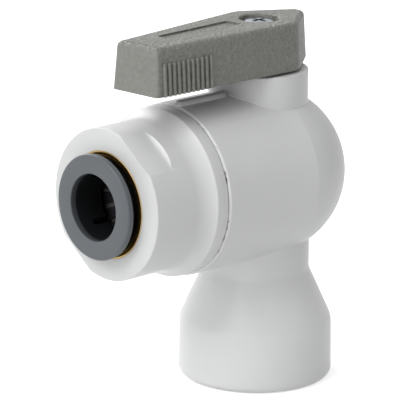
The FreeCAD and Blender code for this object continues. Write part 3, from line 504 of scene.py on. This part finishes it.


# Painted shade: the brass is painted dark brown in a ring round its face and in its mouth, where the collet's
# flange shades it.

sleeve_brass = turned_finish("turned sleeve brass", {
    "Colour": (0.56, 0.40, 0.17, 1), "Dull colour": (0.42, 0.28, 0.11, 1), "Cloud scale": 180,
    "Line scale": 5000, "Line height": 0.000003, "Roughness low": 0.22, "Roughness high": 0.32,
}, Specular_Tint=(0.6, 0.42, 0.2, 1))
tree = sleeve_brass.node_tree
from_axis = round_the_barrel(tree)[0]
off_ring = maths(tree, "ABSOLUTE", maths(tree, "SUBTRACT", from_axis, 11.7 * MM))
ring = fade(tree, off_ring, 0.2 * MM, 0.28 * MM, 0.93, 0)
mouth = fade(tree, from_axis, 11.1 * MM, 11.2 * MM, 0.6, 0)
tinted(sleeve_brass, maths(tree, "MAXIMUM", ring, mouth), (0.09, 0.045, 0.012, 1))
metal_sleeve = turned("metal_sleeve_bush", [
    (-46.75, 11.65, 0.1), (-46.75, 12.2, 0.12), (-39.4, 12.2, 0.1), (-39.4, 11.65), (-43.8, 11.65),
    (-43.8, 9.75, 0.1), (-44.4, 9.75, 0.1), (-44.4, 11.65), (-45.85, 11.65), (-45.85, 10.6, 0.1),
    (-46.45, 10.6, 0.1), (-46.45, 11.65),
], along="Y", closed=True)
dress(metal_sleeve, sleeve_brass, "housing", "sleeve_brass", "metal_sleeve")

# Release collet: dark blue-grey plastic, moulded in one with four fingers that snap behind the sleeve's lip.
# Pushing its flat flange in by hand opens the toothed ring and lets the tube go.

collet_plastic = finish("blue-grey collet plastic", moulded, {
    "Colour": (0.092, 0.102, 0.112, 1), "Tint change": 0.03, "Cloud scale": 160,
    "Roughness low": 0.38, "Roughness high": 0.48, "Grain scale": 2200, "Grain height": 0.000004,
})

# Painted shade: its bore is painted darker, more the further in, and all that lies behind the flange is
# painted near black.

tree = collet_plastic.node_tree
from_axis, along = round_the_barrel(tree)
in_bore = maths(tree, "LESS_THAN", from_axis, 7.72 * MM)
collet_bore_painted_shade = maths(tree, "MULTIPLY", in_bore, fade(tree, along, -50.4 * MM, -45 * MM, 0.25, 1))
behind_flange = maths(tree, "GREATER_THAN", along, -48.83 * MM)
tinted(collet_plastic, maths(tree, "MAXIMUM", collet_bore_painted_shade, behind_flange), (0.006, 0.0065, 0.0075, 1))
release_collet = turned("release_collet_moulding", [
    (-50.35, 7.6, 0.3), (-50.35, 12, 0.45), (-48.85, 12, 0.2), (-48.85, 9.3), (-43.5, 9.3),
    (-43.5, 10.3, 0.15), (-42.9, 10.3), (-42.3, 9.3), (-41.2, 9.3), (-41.2, 7.6, 0.2),
], along="Y", closed=True)
for angle in (45, -45):
    finger_gap = block("finger_gap", (-14, -45.6, BARREL - 0.7), (14, -41, BARREL + 0.7), turn=(0, angle, 0))
    round_edges(finger_gap, 0.4, lambda edge: middle(edge).y < -45.5 and abs(middle(edge).x) < 1, segments=3)
    combine(release_collet, finger_gap, "DIFFERENCE")
dress(release_collet, collet_plastic, "collet", "collet_plastic", "release_collet")

# Lever: a hollow moulding of warm grey plastic with a fine pebbled skin, stiffened by webs underneath.
# Its hub sits on the stem's square and carries a skirt that runs against the fixed stop, and finger ribs
# line both sides of its tip. The panel on top is left bare.

LEVER_FOOT = 74.15
LEVER_TOP = 85.05
LEVER_TURN = 4.3
SKIRT_FOOT = 71.65
WEB_FOOT = 75.55
WEB_TOP = 84.25


def tapered(name, foot_corners, top_corners, foot, top):
    """An upright block whose plan goes from one outline at its foot to another at its top."""
    piece = drawn(name, [(x, y, foot) for x, y in foot_corners], closed=True)
    bpy.ops.mesh.select_all(action="SELECT")
    bpy.ops.mesh.edge_face_add()
    bpy.ops.mesh.extrude_region_move(TRANSFORM_OT_translate={"value": (0, 0, (top - foot) * MM)})
    for below, above in zip(foot_corners, top_corners):
        corner = Vector((*below, top)) * MM
        pick(piece, "VERT", lambda vert: (vert.co - corner).length < SAME_PLACE)
        bpy.ops.transform.translate(value=(Vector((*above, top)) * MM - corner))
    return outward(piece)


def both_sides(corners):
    """Corners of a plan from those of its right half, tip first."""
    return corners + [(-x, y) for x, y in reversed(corners)]


lever = tapered("lever_moulding", both_sides([(6.9, -40.9), (10.3, 0), (10.3, 2.6), (1.6, 14.9)]),
                both_sides([(6.32, -40.27), (9.67, 0.03), (9.67, 2.4), (1.27, 14.27)]), LEVER_FOOT, LEVER_TOP)
round_edges(lever, 0.9, lambda edge: rise(edge) > 10 and middle(edge).y < -30, segments=6)
round_edges(lever, 1.6, lambda edge: rise(edge) > 10 and 1 < middle(edge).y < 5)
round_edges(lever, 0.9, lambda edge: rise(edge) > 10 and middle(edge).y > 10, segments=6)
round_edges(lever, 1.2, lambda edge: rise(edge) < 0.01 and middle(edge).z > LEVER_TOP - 0.01, segments=8)
hollow = tapered("hollow", both_sides([(5.1, -39), (8.4, 0), (8.4, 1.84), (0.84, 13)]),
                 both_sides([(4.65, -38.5), (7.9, 0), (7.9, 1.6), (0.6, 12.5)]),
                 LEVER_FOOT - 0.01, LEVER_TOP - 2.2)
round_edges(hollow, 0.5, lambda edge: rise(edge) > 8, segments=3)
combine(lever, hollow, "DIFFERENCE")
hub = turned("hub", [
    (LEVER_FOOT, 0), (LEVER_FOOT, 6.1), (SKIRT_FOOT, 6.1), (SKIRT_FOOT, 8.3), (83.7, 8.3), (83.7, 0),
])
stop_notch = turned("stop_notch", [(71, 5), (71, 9.5), (LEVER_FOOT, 9.5), (LEVER_FOOT, 5)],
                    closed=True, steps=72, sweep=148.3, start=-31.3)
combine(hub, stop_notch, "DIFFERENCE")
combine(lever, hub, "UNION")
for name, low, high in (
    ("spine", (-0.7, -39.95, WEB_FOOT), (0.7, -7.3, WEB_TOP)),
    ("web_near_tip", (-6.9, -31, WEB_FOOT), (6.9, -29.6, WEB_TOP)),
    ("web_near_hub", (-6.9, -20, WEB_FOOT), (6.9, -18.6, WEB_TOP)),
):
    combine(lever, block(name, low, high), "UNION")
combine(lever, block("drive_socket", (-3.25, -3.25, 70), (3.25, 3.25, 78.75)), "DIFFERENCE")
screw_well = turned("screw_well", [
    (77, 0), (77, 2.25), (81.05, 2.25), (81.05, 4.6), (84.7, 4.6), *bow(84.7, 4.95, 0.35, -75, 0, 4),
    (86, 4.95), (86, 0),
], steps=96)
combine(lever, screw_well, "DIFFERENCE")
panel = block("panel", (-3.1, -30.7, LEVER_TOP - 0.45), (1.5, -7.7, LEVER_TOP + 1))
round_edges(panel, 0.4, lambda edge: rise(edge) > 1, segments=3)
combine(lever, panel, "DIFFERENCE")

# Finger ribs: upright round bars, let into both sides and leaning in with them by their draft. TIP is the
# corner of the tip's foot that a row is measured from, and SIDE points from there back along the side.

DRAFT = 3.3
TIP = Vector((6.9, -40.9, LEVER_FOOT))
SIDE = Vector((0.0828, 0.9966, 0))
RIB_COUNT = 11
RIB_START = 2.3
RIB_PITCH = 1.375
RIB_RADIUS = 0.42
RIB_OUT = 0.18
RIB_HEIGHT = 7.5
rib = turned("rib", [
    (-0.01, 0), (-0.01, RIB_RADIUS), *bow(RIB_HEIGHT - RIB_RADIUS, 0, RIB_RADIUS, 90, 0, 6),
], steps=20)
ribs = []
for side in (1, -1):
    for count in range(RIB_COUNT):
        hold(rib)
        bpy.ops.object.duplicate()
        copy = bpy.context.object
        foot = TIP + SIDE * (RIB_START + RIB_PITCH * count) + Vector((SIDE.y, -SIDE.x, 0)) * RIB_OUT
        lean = Matrix.Rotation(math.radians(-DRAFT * side), 4, Vector((SIDE.x * side, SIDE.y, 0)))
        copy.matrix_world = Matrix.Translation(Vector((foot.x * side, foot.y, foot.z)) * MM) @ lean
        bpy.ops.object.transform_apply()
        ribs.append(copy)
bpy.data.objects.remove(rib, do_unlink=True)
release()
for copy in ribs:
    copy.select_set(True)
bpy.context.view_layer.objects.active = ribs[0]
bpy.ops.object.join()
combine(lever, ribs[0], "UNION")
clean(lever)
lever.rotation_euler.z = math.radians(LEVER_TURN)
hold(lever)
bpy.ops.object.transform_apply()

pebbled, given = shared_effect("pebbled surface", [
    ("Colour", "Color", (0.3, 0.3, 0.28, 1)),
    ("Speck colour", "Color", (0.4, 0.4, 0.38, 1)),
    ("Pebble scale", "Float", 1500),
    ("Pebble height", "Float", 0.00003),
    ("Speck scale", "Float", 2600),
    ("Roughness low", "Float", 0.45),
    ("Roughness high", "Float", 0.6),
])
where = on_piece(pebbled)
pebbles = noise(pebbled, where, given["Pebble scale"], 1.3, Roughness=0.45, Distortion=0.6)
heap = fade(pebbled, pebbles, 0.3, 0.7)
bright = fade(pebbled, noise(pebbled, where, given["Speck scale"], 2), 0.55, 0.75)
worn = maths(pebbled, "MULTIPLY", heap, maths(pebbled, "MULTIPLY_ADD", bright, 0.25, 0.3))
clouds = noise(pebbled, where, 130, 3)
mixed = maths(pebbled, "MULTIPLY_ADD", clouds, 0.1, worn)
shade = mix(pebbled, mixed, given["Colour"], given["Speck colour"])
gloss = fade(pebbled, clouds, 0.3, 0.7, given["Roughness low"], given["Roughness high"])
bumps = step(pebbled, "Bump", {"Height": heap, "Distance": given["Pebble height"]}).outputs[0]
give_out(pebbled, shade, gloss, bumps)
lever_grey = (0.153, 0.153, 0.139, 1)
# Painted light: the tip's grey is a paler copy of the lever's grey.
tip_painted_light_grey = (0.183, 0.183, 0.168, 1)
lever_plastic = finish("pebbled grey plastic", pebbled, {
    "Colour": lever_grey, "Speck colour": (0.29, 0.29, 0.268, 1), "Pebble scale": 1050,
    "Speck scale": 2600, "Roughness low": 0.46, "Roughness high": 0.56,
})

# Fingers have rubbed the pebbles down at the ribs and on the tip's face. The tip's face is also painted
# paler, a painted light for the light that falls on it.

tree = lever_plastic.node_tree
unturned = step(tree, "Mapping", {"Vector": on_piece(tree),
                                  "Rotation": (0, 0, -math.radians(LEVER_TURN))}).outputs[0]
along, height = apart(tree, unturned)[1:3]
before_ribs_end = maths(tree, "LESS_THAN", along, -24.3 * MM)
below_ribs_top = maths(tree, "LESS_THAN", height, 81.9 * MM)
on_tip = maths(tree, "LESS_THAN", along, -40.05 * MM)
rubbed = maths(tree, "MAXIMUM", maths(tree, "MULTIPLY", before_ribs_end, below_ribs_top), on_tip)
surface = effect_in(tree).inputs
tree.links.new(fade(tree, rubbed, 0, 1, 0.00023, 0.00006), surface["Pebble height"])
tree.links.new(mix(tree, on_tip, lever_grey, tip_painted_light_grey), surface["Colour"])
dress(lever, lever_plastic, "lever", "lever_plastic", "lever_handle")

# Handle screw: a zinc-plated steel screw with a domed head and a cross recess.
# It pulls the lever down onto the stem's square, through a flat washer at the bottom of the well.

zinc = turned_finish("bright zinc plating", {
    "Colour": (0.36, 0.39, 0.43, 1), "Dull colour": (0.24, 0.26, 0.29, 1), "Cloud scale": 900,
    "Line scale": 5200, "Line height": 0.0000015, "Roughness low": 0.32, "Roughness high": 0.42,
}, along="Z", height=0)
handle_screw = turned("handle_screw_turned", [
    (71.75, 0), (71.75, 1.5), (72.5, 1.95), (81.75, 1.95), (81.75, 3.7, 0.12), (83.6, 3.7, 0.2),
    (84.05, 3.55), (84.35, 3.2), (84.52, 2.5), (84.6, 1.3), (84.6, 0),
], steps=96)
for turn in (0, 90):
    cross = block("cross", (-2, -0.5, 83.1), (2, 0.5, 85), turn=(0, 0, turn + LEVER_TURN))
    round_edges(cross, 0.2, lambda edge: rise(edge) > 1, segments=3)
    combine(handle_screw, cross, "DIFFERENCE")
dress(handle_screw, zinc, "lever", "zinc_steel", "handle_screw")

# Hidden and small pieces whose CAD shape is right: washer, stem, ball, seats, rings, gasket, toothed ring
# and spacer. Each keeps its mesh and gets its own finish.


def refinish(material, *names):
    """Give CAD pieces a finish and leave their meshes as they are."""
    for name in names:
        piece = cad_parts[name]
        piece.data.materials.clear()
        piece.data.materials.append(material)


refinish(zinc, "screw_washer")
stem_brass = turned_finish("turned stem brass", {
    "Colour": (0.72, 0.55, 0.28, 1), "Dull colour": (0.60, 0.44, 0.2, 1), "Cloud scale": 200,
    "Line scale": 4200, "Line height": 0.000003, "Roughness low": 0.24, "Roughness high": 0.36,
}, along="Z", height=0)
refinish(stem_brass, "valve_stem")
ball_plating = turned_finish("polished ball plating", {
    "Colour": (0.76, 0.76, 0.77, 1), "Dull colour": (0.70, 0.70, 0.72, 1), "Cloud scale": 120,
    "Line scale": 7000, "Line height": 0.0000004, "Roughness low": 0.08, "Roughness high": 0.14,
})
refinish(ball_plating, "ball")
# Painted shade: the toothed ring's steel is made near black and mirrors little, darker than blued steel, for
# the shade deep in the bore.
ring_steel_painted_shade = turned_finish("blued spring steel", {
    "Colour": (0.016, 0.016, 0.019, 1), "Dull colour": (0.008, 0.008, 0.009, 1), "Cloud scale": 240,
    "Line scale": 6000, "Line height": 0.000001, "Roughness low": 0.5, "Roughness high": 0.62,
}, Specular_Tint=(0.06, 0.06, 0.07, 1))
refinish(ring_steel_painted_shade, "toothed_ring")
rubber = finish("black sealing rubber", moulded, {
    "Colour": (0.02, 0.02, 0.02, 1), "Tint change": 0.12, "Cloud scale": 220,
    "Roughness low": 0.5, "Roughness high": 0.64, "Grain scale": 2600, "Grain height": 0.000005,
})
refinish(rubber, "socket_gasket", "cap_sealing_ring", "tube_seal", "front_backing_ring", "rear_backing_ring",
         "lower_stem_ring", "upper_stem_ring")
waxy_white = finish("waxy seat plastic", moulded, {
    "Colour": (0.78, 0.77, 0.74, 1), "Tint change": 0.02, "Cloud scale": 180,
    "Roughness low": 0.42, "Roughness high": 0.52, "Grain scale": 1800, "Grain height": 0.000003,
})
refinish(waxy_white, "front_seat", "rear_seat", "thrust_washer")
# Painted shade: the spacer is made near black, darker than its plastic, for the shade deep in the bore.
spacer_painted_shade = finish("plain spacer plastic", moulded, {
    "Colour": (0.008, 0.008, 0.009, 1), "Tint change": 0.03, "Cloud scale": 180,
    "Roughness low": 0.42, "Roughness high": 0.55, "Grain scale": 1800, "Grain height": 0.000004,
})
refinish(spacer_painted_shade, "tube_spacer")

# Studio: a plain pale floor under the socket's rim, large soft lamps in front, above and on both sides,
# and an even white surround that the metal mirrors.

release()
bpy.ops.mesh.primitive_plane_add(size=4, location=(0, 0, -0.00005))
floor = bpy.context.object
floor.name = "floor"
pale = bpy.data.materials.new("pale floor")
pale.use_nodes = True
tree = pale.node_tree
shader = tree.nodes["Principled BSDF"]
shader.inputs["Base Color"].default_value = (0.8, 0.8, 0.8, 1)
shader.inputs["Roughness"].default_value = 0.9
shader.inputs["Specular IOR Level"].default_value = 0.1
shader.inputs["Emission Color"].default_value = (1, 1, 1, 1)


def seen_directly(tree):
    """One for rays that see the surroundings: from the camera, a mirror or glass."""
    path = step(tree, "LightPath").outputs
    seen_or_mirrored = maths(tree, "MAXIMUM", path["Is Camera Ray"], path["Is Glossy Ray"])
    return maths(tree, "MAXIMUM", seen_or_mirrored, path["Is Transmission Ray"])


tree.links.new(maths(tree, "MULTIPLY", seen_directly(tree), 0.6), shader.inputs["Emission Strength"])
floor.data.materials.append(pale)

for name, place, power in (
    ("front_lamp", (0.440, -1.210, 0.221), 4),
    ("upper_lamp", (0, -0.919, 0.959), 9.2),
    ("left_lamp", (-1.109, 0.195, 0.690), 7.6),
    ("right_lamp", (0.650, 0, 1.166), 1.3),
):
    bpy.ops.object.light_add(type="AREA", location=place)
    lamp = bpy.context.object
    lamp.name = name
    lamp.rotation_euler = (Vector((0, 0, 0.04)) - lamp.location).to_track_quat("-Z", "Y").to_euler()
    lamp.data.size = 0.8
    lamp.data.energy = power

surround = bpy.data.worlds.new("surround")
bpy.context.scene.world = surround
surround.use_nodes = True
tree = surround.node_tree
plain = tree.nodes["Background"]
plain.inputs["Color"].default_value = (1, 1, 1, 1)
tree.links.new(fade(tree, seen_directly(tree), 0, 1, 0.32, 1), plain.inputs["Strength"])
bpy.context.scene.view_settings.view_transform = "Standard"
